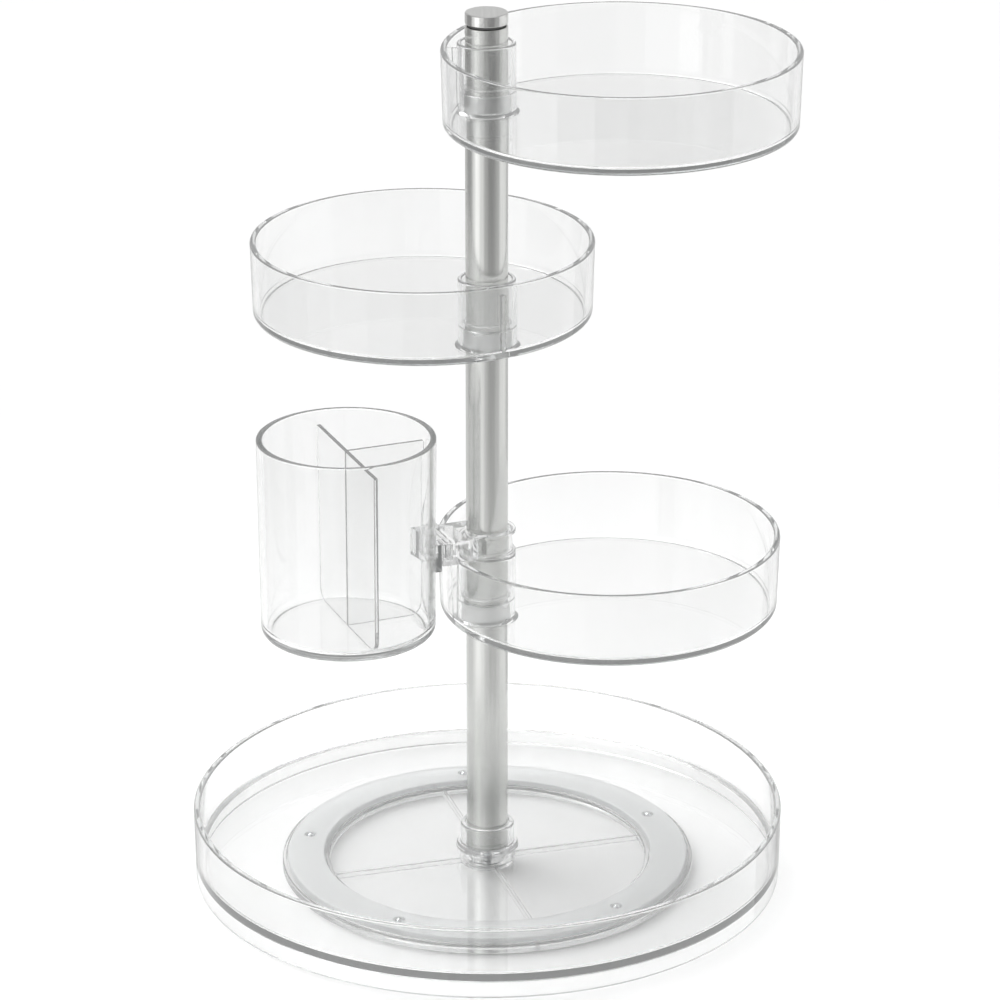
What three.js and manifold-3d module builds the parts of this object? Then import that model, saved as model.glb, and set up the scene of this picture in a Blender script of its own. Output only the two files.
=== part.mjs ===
// A tiered lazy susan: a clear base tray turns on a ball bearing in a foot ring and carries a metal pole.
// Three clear trays and a divided cup swivel round the pole.
// Millimetres, +Z up. The origin is on the pole's axis, at the table the foot pads stand on.
import * as THREE from "three";
import { mergeVertices } from "three/addons/utils/BufferGeometryUtils.js";
import Module from "manifold-3d";

const wasm = await Module();
wasm.setup();

// ---- Clearances ----
const SEAT_GAP = 0.3; // between faces that rest on each other
const RUN_GAP = 0.45; // radial, round a shaft or in a socket
const SIDE_GAP = 0.4; // between sliding faces
const OVERSHOOT = 1; // a cutting solid runs this far past the face it cuts

// ---- Pole ----
const POLE_HEIGHT = 441.2; // from the table to the top of the cap
const POLE_RADIUS = 10.2;
const POLE_WALL = 1.2;
const CAP_HEIGHT = 5.4;
const CAP_EDGE = 0.8;
const CAP_PIN_RADIUS = 4;
const CAP_PIN_LENGTH = 11;
const GROOVE_HEIGHT = 1.3; // the dark joint between the cap and the tube
const TOP_PLUG_LENGTH = 13;
const TOP_PLUG_FLANGE_INSET = 0.9;
const BOTTOM_PLUG_LENGTH = 20;

// ---- Foot ring and bearing ----
const PAD_THICKNESS = 1;
const PAD_RADIUS = 6;
const PAD_COUNT = 4;
const FOOT_WALL = 2;
const FOOT_WALL_HEIGHT = 2.3; // above the race
const RACE_THICKNESS = 2.6;
const BEARING_RADIUS = 90.5; // the circle the balls run on
const BALL_RADIUS = 2.55;
const BALL_COUNT = 5;
const BALL_START_DEG = 26;
const CAGE_WIDTH = 18.2;
const CAGE_THICKNESS = 4.2;
const SPOKE_COUNT = 4;
const SPOKE_START_DEG = 16.5;
const SPOKE_THICKNESS = 2;
const SPOKE_HEIGHT = 3.7;
const SPOKE_LIFT = 1.5; // above the table
const HUB_WALL = 6.3;
const WEB_THICKNESS = 1.2; // the clear sheet between the spokes
const SPOKE_LAP = 1; // how far a spoke or the sheet runs into the hub and the ring

// ---- Pivot under the base tray ----
const SCREW_LIFT = 0.9; // screw head above the table
const SCREW_HEAD_RADIUS = 4.4;
const SCREW_HEAD_HEIGHT = 1.2;
const SCREW_HEAD_EDGE = 0.9; // chamfer on the side that faces the table
const SCREW_SLOT_WIDTH = 1.1;
const SCREW_SLOT_LENGTH = 5.2;
const SCREW_SLOT_DEPTH = 0.7;
const SCREW_RADIUS = 2;
const WASHER_THICKNESS = 1;
const WASHER_LAP = 2; // how far the washer reaches under the foot's hub
const SPIGOT_RADIUS = 7;

// ---- Base tray ----
const BASE_RADIUS = 146;
const BASE_DRAFT = 0.5;
const BASE_WALL = 3.3;
const BASE_RIM_EDGE = 0.8; // chamfer on both sides of the rim
const BASE_FLOOR = 3.3;
const BASE_SKIRT_LIFT = 1.5; // skirt above the table
const BASE_RIM_HEIGHT = 24.6; // rim above the floor
const BASE_FILLET = 2.5;
const SOCKET_HEIGHT = 12.6;
const SOCKET_WALL = 2.6;
const BEAD_WIDTH = 2;
const BEAD_HEIGHT = 2.3;

// ---- Three trays ----
const TRAY_RADIUS = 84.3;
const TRAY_DRAFT = 1;
const TRAY_HEIGHT = 37;
const TRAY_WALL = 3;
const TRAY_FLOOR = 2.5;
const TRAY_CORNER = 2.5;
const SLEEVE_WALL = 2.1;
const SLEEVE_DROP = 1.2; // sleeve top below the rim
const SLEEVE_TO_WALL = 2.7; // bridged by the rib
const SLEEVE_FOOT_WIDTH = 1.5;
const RIB_THICKNESS = 2;
const RIB_DROP = 5; // rib top below the rim
const LIP_HEIGHT = 2.8;
const COLLAR_HEIGHT = 12;
const COLLAR_WALL = 0.8;
const TRAYS = [
  // name, pole top down to the rim, direction of the tray's centre from the pole
  { name: "top", drop: 13.4, turnDeg: -13.4 },
  { name: "mid", drop: 129.3, turnDeg: 119.2 },
  { name: "low", drop: 270, turnDeg: 21.9 },
];

// ---- Cup, its divider and the arm that holds it ----
const CUP_RADIUS = 43.05;
const CUP_DRAFT = 0.8;
const CUP_HEIGHT = 99.5;
const CUP_WALL = 3;
const CUP_FLOOR = 2.8;
const CUP_CORNER = 4;
const DIVIDER_THICKNESS = 2;
const DIVIDER_DROP = 6.7; // divider top below the cup's rim
const DIVIDER_CORNER = 6.5;
const DIVIDER_FLARE = 0.6; // how much further each plate reaches at its top, as the cup widens
const LUG_LIFT = 33.8; // lug above the cup's bottom
const LUG_HEIGHT = 9;
const LUG_THICKNESS = 2.6;
const WEB_WIDTH = 11;
const PAD_PLATE_HEIGHT = 14;
const PAD_PLATE_PROUD = 0.15; // pad face in front of the cup's nearest point
const ARM_HEIGHT = 12.7;
const ARM_RING_WALL = 3.35; // at the ring's two flanges
const ARM_WAIST_WALL = 1.75; // between the flanges
const ARM_FLANGE = 1.8;
const ARM_WIDTH = 25;
const ARM_SKIN = 2.5;
const ARM_RIM_CLEARANCE = 0.6; // arm above the tray rim it crosses
const PLATE_WIDTH = 29;
const PLATE_THICKNESS = 2.4;
const PLATE_CLEARANCE = 0.9; // plate to the tray wall behind it
const CHANNEL_LIP = 2.2;
const CHANNEL_MOUTH_GAP = 0.7; // each side of the web
const CHANNEL_FLOOR = 1.8;

// ---- Facets round each kind of round part ----
const BASE_SIDES = 64;
const TRAY_SIDES = 48;
const CUP_SIDES = 40;
const POLE_SIDES = 32;
const SMALL_SIDES = 24;
const BALL_SIDES = 10;
const CORNER_STEPS = 3;

// ---- Sizes that follow ----
const footBottom = PAD_THICKNESS + SEAT_GAP;
const raceTop = footBottom + RACE_THICKNESS;
const ballCentreZ = raceTop + SEAT_GAP + BALL_RADIUS;
const baseUnderside = ballCentreZ + BALL_RADIUS + SEAT_GAP;
const baseFloorTop = baseUnderside + BASE_FLOOR;
const washerBottom = SCREW_LIFT + SCREW_HEAD_HEIGHT + SEAT_GAP;
const pivotBottom = washerBottom + WASHER_THICKNESS + SEAT_GAP;
const hubBore = SPIGOT_RADIUS + RUN_GAP;
const washerRadius = hubBore + WASHER_LAP;
const screwBore = SCREW_RADIUS + RUN_GAP;
const footInner = BEARING_RADIUS - CAGE_WIDTH / 2 - FOOT_WALL - SEAT_GAP - SIDE_GAP;
const footOuter = BEARING_RADIUS + CAGE_WIDTH / 2 + FOOT_WALL + SEAT_GAP + SIDE_GAP;
const poleBottom = baseFloorTop + SEAT_GAP;
const tubeTop = POLE_HEIGHT - CAP_HEIGHT - GROOVE_HEIGHT;
const plugRadius = POLE_RADIUS - POLE_WALL - SIDE_GAP;
const poleBore = POLE_RADIUS + RUN_GAP;
const collarRadius = poleBore + COLLAR_WALL;
const sleeveBore = collarRadius + RUN_GAP;
const sleeveRadius = sleeveBore + SLEEVE_WALL;
const wallFromPole = sleeveRadius + SLEEVE_TO_WALL + TRAY_WALL; // the tray wall's nearest outside face
const trayOffset = TRAY_RADIUS - wallFromPole;
const lipBottom = COLLAR_HEIGHT + SEAT_GAP;
const sleeveTop = TRAY_HEIGHT - SLEEVE_DROP;
const trayBottom = (tray) => POLE_HEIGHT - tray.drop - TRAY_HEIGHT;

// Along the arm, from the pole's axis towards the cup.
const lowTray = TRAYS[TRAYS.length - 1];
const armTurnDeg = lowTray.turnDeg + 180; // over the near side of the low tray
const armBottom = trayBottom(lowTray) + sleeveTop + SEAT_GAP;
const armTop = armBottom + ARM_HEIGHT;
const beamBottom = trayBottom(lowTray) + TRAY_HEIGHT + ARM_RIM_CLEARANCE;
const plateNear = wallFromPole + PLATE_CLEARANCE;
const plateFar = plateNear + PLATE_THICKNESS;
const lugNear = plateFar + SIDE_GAP;
const lipNear = lugNear + LUG_THICKNESS + SIDE_GAP;
const lipFar = lipNear + CHANNEL_LIP;
const padFace = lipFar + SIDE_GAP;
const cupOffset = padFace + PAD_PLATE_PROUD + CUP_RADIUS;
const lugBottom = beamBottom + CHANNEL_FLOOR + SEAT_GAP;
const cupBottom = lugBottom - LUG_LIFT;
const lugWidth = PLATE_WIDTH - 2 * (CHANNEL_LIP + SIDE_GAP);
const dividerBottom = CUP_FLOOR + SEAT_GAP;
const dividerTop = CUP_HEIGHT - DIVIDER_DROP;

// ---- Materials ----
function plastic(color, opacity) {
  return new THREE.MeshStandardMaterial({
    color,
    roughness: 0.08,
    metalness: 0,
    transparent: opacity < 1,
    opacity,
  });
}
function metal(color, roughness) {
  return new THREE.MeshStandardMaterial({ color, roughness, metalness: 1 });
}
const clear = plastic(0xf2f5f5, 0.25);
const clearFoot = plastic(0xeef1f1, 0.3);
const frosted = plastic(0xe6e8e8, 0.7);
const rubber = new THREE.MeshStandardMaterial({ color: 0xdcdcda, roughness: 0.8, metalness: 0 });
const plug = new THREE.MeshStandardMaterial({ color: 0x4c4e50, roughness: 0.6, metalness: 0 });
const satin = metal(0xbfc1c0, 0.35);
const polished = metal(0xc4c5c5, 0.2);
const collarMetal = metal(0xb4b7b8, 0.45);
const steel = metal(0xa9acae, 0.3);

// ---- Solids ----
function toSolid(geometry) {
  const bare = geometry.clone();
  bare.deleteAttribute("normal");
  bare.deleteAttribute("uv");
  const merged = mergeVertices(bare, 1e-4);
  const index = merged.index.array;
  const triangles = [];
  for (let i = 0; i < index.length; i += 3) {
    const [a, b, c] = [index[i], index[i + 1], index[i + 2]];
    if (a !== b && b !== c && c !== a) triangles.push(a, b, c);
  }
  return new wasm.Manifold(
    new wasm.Mesh({
      numProp: 3,
      vertProperties: merged.attributes.position.array,
      triVerts: new Uint32Array(triangles),
    }),
  );
}

function toGeometry(solid) {
  const mesh = solid.getMesh();
  const geometry = new THREE.BufferGeometry();
  geometry.setAttribute("position", new THREE.BufferAttribute(mesh.vertProperties, mesh.numProp));
  geometry.setIndex(new THREE.BufferAttribute(mesh.triVerts, 1));
  return geometry;
}

function join(...geometries) {
  return toGeometry(geometries.map(toSolid).reduce((whole, next) => whole.add(next)));
}

function cut(geometry, ...tools) {
  return toGeometry(tools.map(toSolid).reduce((whole, next) => whole.subtract(next), toSolid(geometry)));
}

// Turns an outline of [radius, height] pairs, counter-clockwise, about the Z axis.
function revolve(outline, sides) {
  const points = outline.map(([radius, height]) => new THREE.Vector2(radius, height));
  if (points[0].x > 0) points.push(points[0].clone());
  return new THREE.LatheGeometry(points, sides).rotateX(Math.PI / 2);
}

function tube(inner, outer, bottom, top, sides) {
  const outline = [
    [inner, bottom],
    [outer, bottom],
    [outer, top],
    [inner, top],
  ];
  return revolve(outline, sides);
}

function disc(radius, bottom, top, sides) {
  const outline = [
    [0, bottom],
    [radius, bottom],
    [radius, top],
    [0, top],
  ];
  return revolve(outline, sides);
}

function block([x0, x1], [y0, y1], [z0, z1]) {
  const box = new THREE.BoxGeometry(x1 - x0, y1 - y0, z1 - z0);
  return box.translate((x0 + x1) / 2, (y0 + y1) / 2, (z0 + z1) / 2);
}

// Points on a quarter turn from startDeg, about [centre radius, centre height].
function quarter([radius, height], size, startDeg) {
  const points = [];
  for (let i = 0; i <= CORNER_STEPS; i += 1) {
    const angle = THREE.MathUtils.degToRad(startDeg + (90 * i) / CORNER_STEPS);
    points.push([radius + size * Math.cos(angle), height + size * Math.sin(angle)]);
  }
  return points;
}

function clockwise(points) {
  return [...points].reverse();
}

function ringPoint(radius, deg, z) {
  const angle = THREE.MathUtils.degToRad(deg);
  return [radius * Math.cos(angle), radius * Math.sin(angle), z];
}

// An open round vessel with a drafted wall, a rounded outside corner and a filleted inside one.
function vesselOutside({ radius, draft, height, corner }) {
  const foot = radius - draft;
  return [[0, 0], ...quarter([foot - corner, corner], corner, -90), [radius, height], [0, height]];
}

function vesselInside({ radius, draft, height, corner, wall, floor }) {
  const foot = radius - draft - wall;
  return [
    [0, floor],
    ...quarter([foot - corner, floor + corner], corner, -90),
    [radius - wall, height + OVERSHOOT],
    [0, height + OVERSHOOT],
  ];
}

// ---- Foot ring, pads and bearing ----
function footRing() {
  const wallTop = raceTop + FOOT_WALL_HEIGHT;
  const channel = revolve(
    [
      [footInner, footBottom],
      [footOuter, footBottom],
      [footOuter, wallTop],
      [footOuter - FOOT_WALL, wallTop],
      [footOuter - FOOT_WALL, raceTop],
      [footInner + FOOT_WALL, raceTop],
      [footInner + FOOT_WALL, wallTop],
      [footInner, wallTop],
    ],
    BASE_SIDES,
  );
  const hubRadius = hubBore + HUB_WALL;
  const hub = disc(hubRadius, SPOKE_LIFT, baseUnderside - SIDE_GAP, POLE_SIDES);
  const spokes = [];
  const lap = [hubRadius - SPOKE_LAP, footInner + SPOKE_LAP];
  const web = tube(lap[0], lap[1], pivotBottom, pivotBottom + WEB_THICKNESS, BASE_SIDES);
  const halfSpoke = SPOKE_THICKNESS / 2;
  for (let i = 0; i < SPOKE_COUNT; i += 1) {
    const spoke = block(lap, [-halfSpoke, halfSpoke], [SPOKE_LIFT, SPOKE_LIFT + SPOKE_HEIGHT]);
    spokes.push(spoke.rotateZ(THREE.MathUtils.degToRad(SPOKE_START_DEG + (360 * i) / SPOKE_COUNT)));
  }
  const bore = disc(hubBore, -OVERSHOOT, baseUnderside, SMALL_SIDES);
  const washerPocket = disc(washerRadius + SIDE_GAP, -OVERSHOOT, pivotBottom, SMALL_SIDES);
  return cut(join(channel, hub, web, ...spokes), bore, washerPocket);
}

function ballPlaces() {
  const places = [];
  for (let i = 0; i < BALL_COUNT; i += 1) {
    places.push(ringPoint(BEARING_RADIUS, BALL_START_DEG + (360 * i) / BALL_COUNT, ballCentreZ));
  }
  return places;
}

function ballCage() {
  const bottom = raceTop + SIDE_GAP;
  const top = bottom + CAGE_THICKNESS;
  const [inner, outer] = [BEARING_RADIUS - CAGE_WIDTH / 2, BEARING_RADIUS + CAGE_WIDTH / 2];
  const pockets = ballPlaces().map(([x, y]) =>
    disc(BALL_RADIUS + RUN_GAP, bottom - OVERSHOOT, top + OVERSHOOT, BALL_SIDES).translate(x, y, 0),
  );
  return cut(tube(inner, outer, bottom, top, BASE_SIDES), ...pockets);
}

// ---- Base tray and its pivot ----
function baseTray() {
  const rim = baseFloorTop + BASE_RIM_HEIGHT;
  const outside = BASE_RADIUS;
  const inside = BASE_RADIUS - BASE_WALL;
  const insideFoot = inside - BASE_DRAFT;
  const socketRadius = poleBore + SOCKET_WALL;
  const socketTop = baseFloorTop + SOCKET_HEIGHT;
  const filletCentre = [insideFoot - BASE_FILLET, baseFloorTop + BASE_FILLET];
  return revolve(
    [
      [screwBore, pivotBottom],
      [SPIGOT_RADIUS, pivotBottom],
      [SPIGOT_RADIUS, baseUnderside],
      [insideFoot, baseUnderside],
      [insideFoot, BASE_SKIRT_LIFT],
      [outside - BASE_DRAFT, BASE_SKIRT_LIFT],
      [outside, rim - BASE_RIM_EDGE],
      [outside - BASE_RIM_EDGE, rim],
      [inside + BASE_RIM_EDGE, rim],
      [inside, rim - BASE_RIM_EDGE],
      ...clockwise(quarter(filletCentre, BASE_FILLET, -90)),
      [socketRadius + BEAD_WIDTH, baseFloorTop],
      [socketRadius + BEAD_WIDTH, baseFloorTop + BEAD_HEIGHT / 2],
      [socketRadius, baseFloorTop + BEAD_HEIGHT],
      [socketRadius, socketTop],
      [poleBore, socketTop],
      [poleBore, baseFloorTop],
      [screwBore, baseFloorTop],
    ],
    BASE_SIDES,
  );
}

function pivotScrew() {
  const headTop = SCREW_LIFT + SCREW_HEAD_HEIGHT;
  const body = revolve(
    [
      [0, SCREW_LIFT],
      [SCREW_HEAD_RADIUS - SCREW_HEAD_EDGE, SCREW_LIFT],
      [SCREW_HEAD_RADIUS, headTop - SCREW_HEAD_HEIGHT / 2],
      [SCREW_HEAD_RADIUS, headTop],
      [SCREW_RADIUS, headTop],
      [SCREW_RADIUS, poleBottom + BOTTOM_PLUG_LENGTH - SCREW_RADIUS],
      [0, poleBottom + BOTTOM_PLUG_LENGTH],
    ],
    SMALL_SIDES,
  );
  const [half, long] = [SCREW_SLOT_WIDTH / 2, SCREW_SLOT_LENGTH / 2];
  const depth = [SCREW_LIFT - OVERSHOOT, SCREW_LIFT + SCREW_SLOT_DEPTH];
  return cut(body, block([-long, long], [-half, half], depth), block([-half, half], [-long, long], depth));
}

// ---- Pole ----
function poleCap() {
  const bottom = POLE_HEIGHT - CAP_HEIGHT;
  return revolve(
    [
      [0, bottom - CAP_PIN_LENGTH],
      [CAP_PIN_RADIUS, bottom - CAP_PIN_LENGTH],
      [CAP_PIN_RADIUS, bottom],
      [POLE_RADIUS, bottom],
      [POLE_RADIUS, POLE_HEIGHT - CAP_EDGE],
      [POLE_RADIUS - CAP_EDGE, POLE_HEIGHT],
      [0, POLE_HEIGHT],
    ],
    POLE_SIDES,
  );
}

// A plug pressed into the tube's top; its flange is the dark line under the cap.
function topPlug() {
  const [flangeBottom, flangeTop] = [tubeTop + SEAT_GAP, tubeTop + GROOVE_HEIGHT - SEAT_GAP];
  const flangeRadius = POLE_RADIUS - TOP_PLUG_FLANGE_INSET;
  return revolve(
    [
      [CAP_PIN_RADIUS + SIDE_GAP, tubeTop - TOP_PLUG_LENGTH],
      [plugRadius, tubeTop - TOP_PLUG_LENGTH],
      [plugRadius, flangeBottom],
      [flangeRadius, flangeBottom],
      [flangeRadius, flangeTop],
      [CAP_PIN_RADIUS + SIDE_GAP, flangeTop],
    ],
    POLE_SIDES,
  );
}

// ---- Trays ----
// The pole's axis is the tray's own Z axis, and its centre lies along +X.
function tray() {
  const size = {
    radius: TRAY_RADIUS,
    draft: TRAY_DRAFT,
    height: TRAY_HEIGHT,
    corner: TRAY_CORNER,
    wall: TRAY_WALL,
    floor: TRAY_FLOOR,
  };
  const dish = cut(revolve(vesselOutside(size), TRAY_SIDES), revolve(vesselInside(size), TRAY_SIDES));
  const sleeveFoot = sleeveRadius + SLEEVE_FOOT_WIDTH;
  const sleeve = revolve(
    [
      [0, TRAY_FLOOR / 2],
      [sleeveFoot, TRAY_FLOOR / 2],
      [sleeveFoot, TRAY_FLOOR],
      [sleeveRadius + SLEEVE_FOOT_WIDTH / 3, TRAY_FLOOR + SLEEVE_FOOT_WIDTH],
      [sleeveRadius, sleeveTop],
      [0, sleeveTop],
    ],
    POLE_SIDES,
  );
  const rib = block(
    [-wallFromPole + TRAY_WALL / 2, -sleeveBore - SLEEVE_WALL / 2],
    [-RIB_THICKNESS / 2, RIB_THICKNESS / 2],
    [TRAY_FLOOR / 2, TRAY_HEIGHT - RIB_DROP],
  );
  const bore = revolve(
    [
      [0, -OVERSHOOT],
      [sleeveBore, -OVERSHOOT],
      [sleeveBore, lipBottom],
      [poleBore, lipBottom],
      [poleBore, lipBottom + LIP_HEIGHT],
      [sleeveBore, lipBottom + LIP_HEIGHT],
      [sleeveBore, TRAY_HEIGHT],
      [0, TRAY_HEIGHT],
    ],
    POLE_SIDES,
  );
  return cut(join(toGeometry(toSolid(dish)).translate(trayOffset, 0, 0), sleeve, rib), bore);
}

// ---- Cup arm, cup and divider ----
// All three have the pole's axis as their own Z axis, and the cup's centre lies along +X.
function cupArm() {
  const halfArm = ARM_WIDTH / 2;
  const halfPlate = PLATE_WIDTH / 2;
  const halfMouth = WEB_WIDTH / 2 + CHANNEL_MOUTH_GAP;
  const flange = poleBore + ARM_RING_WALL;
  const waist = poleBore + ARM_WAIST_WALL;
  const ring = revolve(
    [
      [0, armBottom],
      [flange, armBottom],
      [flange, armBottom + ARM_FLANGE],
      [waist, armBottom + ARM_FLANGE],
      [waist, armTop - ARM_FLANGE],
      [flange, armTop - ARM_FLANGE],
      [flange, armTop],
      [0, armTop],
    ],
    POLE_SIDES,
  );
  const beam = block([0, plateFar], [-halfArm, halfArm], [beamBottom, armTop]);
  const underBeam = block(
    [flange, plateNear],
    [ARM_SKIN - halfArm, halfArm - ARM_SKIN],
    [beamBottom - OVERSHOOT, armTop - ARM_SKIN],
  );
  const channel = block([plateNear, lipFar], [-halfPlate, halfPlate], [beamBottom, armTop]);
  const slot = block([plateFar, lipNear], [CHANNEL_LIP - halfPlate, halfPlate - CHANNEL_LIP], [
    beamBottom + CHANNEL_FLOOR,
    armTop + OVERSHOOT,
  ]);
  const mouth = block([plateFar, lipFar + OVERSHOOT], [-halfMouth, halfMouth], [
    beamBottom + CHANNEL_FLOOR,
    armTop + OVERSHOOT,
  ]);
  const bore = disc(poleBore, armBottom - OVERSHOOT, armTop + OVERSHOOT, POLE_SIDES);
  return cut(join(ring, beam, channel), underBeam, slot, mouth, bore);
}

function cup() {
  const size = {
    radius: CUP_RADIUS,
    draft: CUP_DRAFT,
    height: CUP_HEIGHT,
    corner: CUP_CORNER,
    wall: CUP_WALL,
    floor: CUP_FLOOR,
  };
  const outside = revolve(vesselOutside(size), CUP_SIDES).translate(cupOffset, 0, cupBottom);
  const inside = revolve(vesselInside(size), CUP_SIDES).translate(cupOffset, 0, cupBottom);
  const wallMiddle = cupOffset - CUP_RADIUS + CUP_DRAFT + CUP_WALL / 2;
  const halfPlate = PLATE_WIDTH / 2;
  const plateReach = cupOffset - Math.sqrt(CUP_RADIUS ** 2 - halfPlate ** 2) + CUP_WALL / 2;
  const lugTop = lugBottom + LUG_HEIGHT;
  const plateTop = lugTop + SIDE_GAP;
  const plateBottom = plateTop - PAD_PLATE_HEIGHT;
  const plate = block([padFace, plateReach], [-halfPlate, halfPlate], [plateBottom, plateTop]);
  const web = block([lugNear + LUG_THICKNESS / 2, wallMiddle], [-WEB_WIDTH / 2, WEB_WIDTH / 2], [
    lugBottom,
    lugTop,
  ]);
  const lug = block([lugNear, lugNear + LUG_THICKNESS], [-lugWidth / 2, lugWidth / 2], [lugBottom, lugTop]);
  return cut(join(outside, plate, web, lug), inside);
}

// Half a divider plate: the cup's inside outline, from its centre along +X to the wall.
function dividerPlate(footReach, topReach) {
  const corner = DIVIDER_CORNER;
  const outline = new THREE.Shape();
  outline.moveTo(0, dividerBottom);
  for (const [x, z] of quarter([footReach - corner, dividerBottom + corner], corner, -90)) {
    outline.lineTo(x, z);
  }
  outline.lineTo(topReach, dividerTop);
  outline.lineTo(0, dividerTop);
  const plate = new THREE.ExtrudeGeometry(outline, { depth: DIVIDER_THICKNESS, bevelEnabled: false });
  return plate.translate(0, 0, -DIVIDER_THICKNESS / 2).rotateX(Math.PI / 2);
}

// One plate right across the cup and one half plate towards the pole.
function cupDivider() {
  const footReach = CUP_RADIUS - CUP_DRAFT - CUP_WALL - SIDE_GAP;
  const topReach = footReach + DIVIDER_FLARE;
  const wings = [90, 180, 270].map((deg) =>
    dividerPlate(footReach, topReach).rotateZ(THREE.MathUtils.degToRad(deg)),
  );
  const core = block(
    [-DIVIDER_THICKNESS / 2, DIVIDER_THICKNESS / 2],
    [-DIVIDER_THICKNESS, DIVIDER_THICKNESS],
    [dividerBottom, dividerTop],
  );
  return join(...wings, core).translate(cupOffset, 0, cupBottom);
}

// ---- Assembly ----
const lazySusan = new THREE.Group();

function addPiece(name, geometry, material, turnDeg = 0, position = [0, 0, 0]) {
  const mesh = new THREE.Mesh(geometry, material);
  mesh.name = name;
  mesh.rotation.z = THREE.MathUtils.degToRad(turnDeg);
  mesh.position.set(...position);
  lazySusan.add(mesh);
}

function addFoot() {
  addPiece("foot_ring", footRing(), clearFoot);
  for (let i = 0; i < PAD_COUNT; i += 1) {
    const place = ringPoint(BEARING_RADIUS, SPOKE_START_DEG + (360 * i) / PAD_COUNT, 0);
    addPiece(`foot_pad_${i + 1}`, disc(PAD_RADIUS, 0, PAD_THICKNESS, SMALL_SIDES), rubber, 0, place);
  }
}

function addBearing() {
  addPiece("ball_cage", ballCage(), frosted);
  ballPlaces().forEach((place, i) => {
    const ball = new THREE.SphereGeometry(BALL_RADIUS, BALL_SIDES, BALL_SIDES / 2);
    addPiece(`bearing_ball_${i + 1}`, ball, steel, 0, place);
  });
}

function addTurntable() {
  addPiece("base_tray", baseTray(), clear);
  const washerTop = washerBottom + WASHER_THICKNESS;
  addPiece("pivot_washer", tube(screwBore, washerRadius, washerBottom, washerTop, SMALL_SIDES), steel);
  addPiece("pivot_screw", pivotScrew(), steel);
}

function addPole() {
  addPiece("pole_tube", tube(POLE_RADIUS - POLE_WALL, POLE_RADIUS, poleBottom, tubeTop, POLE_SIDES), satin);
  const plugBottom = poleBottom + SEAT_GAP;
  const plugTop = plugBottom + BOTTOM_PLUG_LENGTH;
  addPiece("pole_bottom_plug", tube(screwBore, plugRadius, plugBottom, plugTop, POLE_SIDES), plug);
  addPiece("pole_top_plug", topPlug(), plug);
  addPiece("pole_cap", poleCap(), polished);
}

function addTrays() {
  for (const each of TRAYS) {
    const bottom = trayBottom(each);
    const collar = tube(poleBore, collarRadius, 0, COLLAR_HEIGHT, POLE_SIDES);
    addPiece(`stop_collar_${each.name}`, collar, collarMetal, 0, [0, 0, bottom]);
    addPiece(`tray_${each.name}`, tray(), clear, each.turnDeg, [0, 0, bottom]);
  }
}

function addCup() {
  addPiece("cup_arm", cupArm(), clear, armTurnDeg);
  addPiece("cup", cup(), clear, armTurnDeg);
  addPiece("cup_divider", cupDivider(), clear, armTurnDeg);
}

addFoot();
addBearing();
addTurntable();
addPole();
addTrays();
addCup();

export default lazySusan;
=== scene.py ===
"""A tiered lazy susan: clear trays and a divided cup on a satin metal pole, over a ball-bearing base.

Pieces are built in millimetres round the pole's axis and scaled to metres when they are placed.
"""

import math

import bmesh
import bpy
from mathutils import Matrix, Vector


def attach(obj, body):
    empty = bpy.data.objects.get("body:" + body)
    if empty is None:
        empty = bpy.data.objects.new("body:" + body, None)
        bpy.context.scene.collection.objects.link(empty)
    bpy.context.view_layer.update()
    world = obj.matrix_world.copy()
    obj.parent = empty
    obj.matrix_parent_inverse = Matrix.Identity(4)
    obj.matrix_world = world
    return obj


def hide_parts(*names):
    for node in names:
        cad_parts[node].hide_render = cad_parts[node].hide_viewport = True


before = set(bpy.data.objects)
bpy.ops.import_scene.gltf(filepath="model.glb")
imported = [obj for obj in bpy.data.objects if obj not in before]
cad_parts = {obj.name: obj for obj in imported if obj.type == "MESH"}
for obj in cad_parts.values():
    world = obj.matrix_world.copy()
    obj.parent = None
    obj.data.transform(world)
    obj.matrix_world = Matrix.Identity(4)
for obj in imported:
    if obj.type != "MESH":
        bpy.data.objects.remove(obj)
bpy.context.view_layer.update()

MM = 0.001

# ---- Sizes, in millimetres, as in the CAD part ----
BASE_RADIUS = 146
BASE_WALL = 3.3
BASE_DRAFT = 0.5
BASE_SKIRT_BOTTOM = 1.5
BASE_UNDERSIDE = 9.6
BASE_FLOOR_TOP = 12.9
BASE_RIM = 37.5
BASE_FILLET = 2.5
SOCKET_BORE = 10.65
SOCKET_RADIUS = 13.25
SOCKET_TOP = 25.5
BEAD_RADIUS = 15.25
BEAD_TOP = 15.2
SPIGOT_RADIUS = 7
SPIGOT_BOTTOM = 3.7
SCREW_BORE = 2.45

TRAY_RADIUS = 84.3
TRAY_DRAFT = 1
TRAY_HEIGHT = 37
TRAY_WALL = 3
TRAY_FLOOR = 2.5
TRAY_CORNER = 2.5
TRAY_OFFSET = 64.6
SLEEVE_RADIUS = 14
SLEEVE_BORE = 11.9
SLEEVE_TOP = 35.8
SLEEVE_FOOT = 1.5
SLEEVE_FOOT_EDGE = 0.2
SLEEVE_CHAMFER = 0.5
LIP_BORE = 10.65
LIP_BOTTOM = 12.3
LIP_TOP = 15.1
RIB_THICKNESS = 2
RIB_TOP = 32
RIB_INTO_SLEEVE = 1
TRAYS = {  # name: bottom above the table, direction of its centre from the pole in degrees
    "top": (390.8, -13.4),
    "mid": (274.9, 119.2),
    "low": (134.2, 21.9),
}

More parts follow.
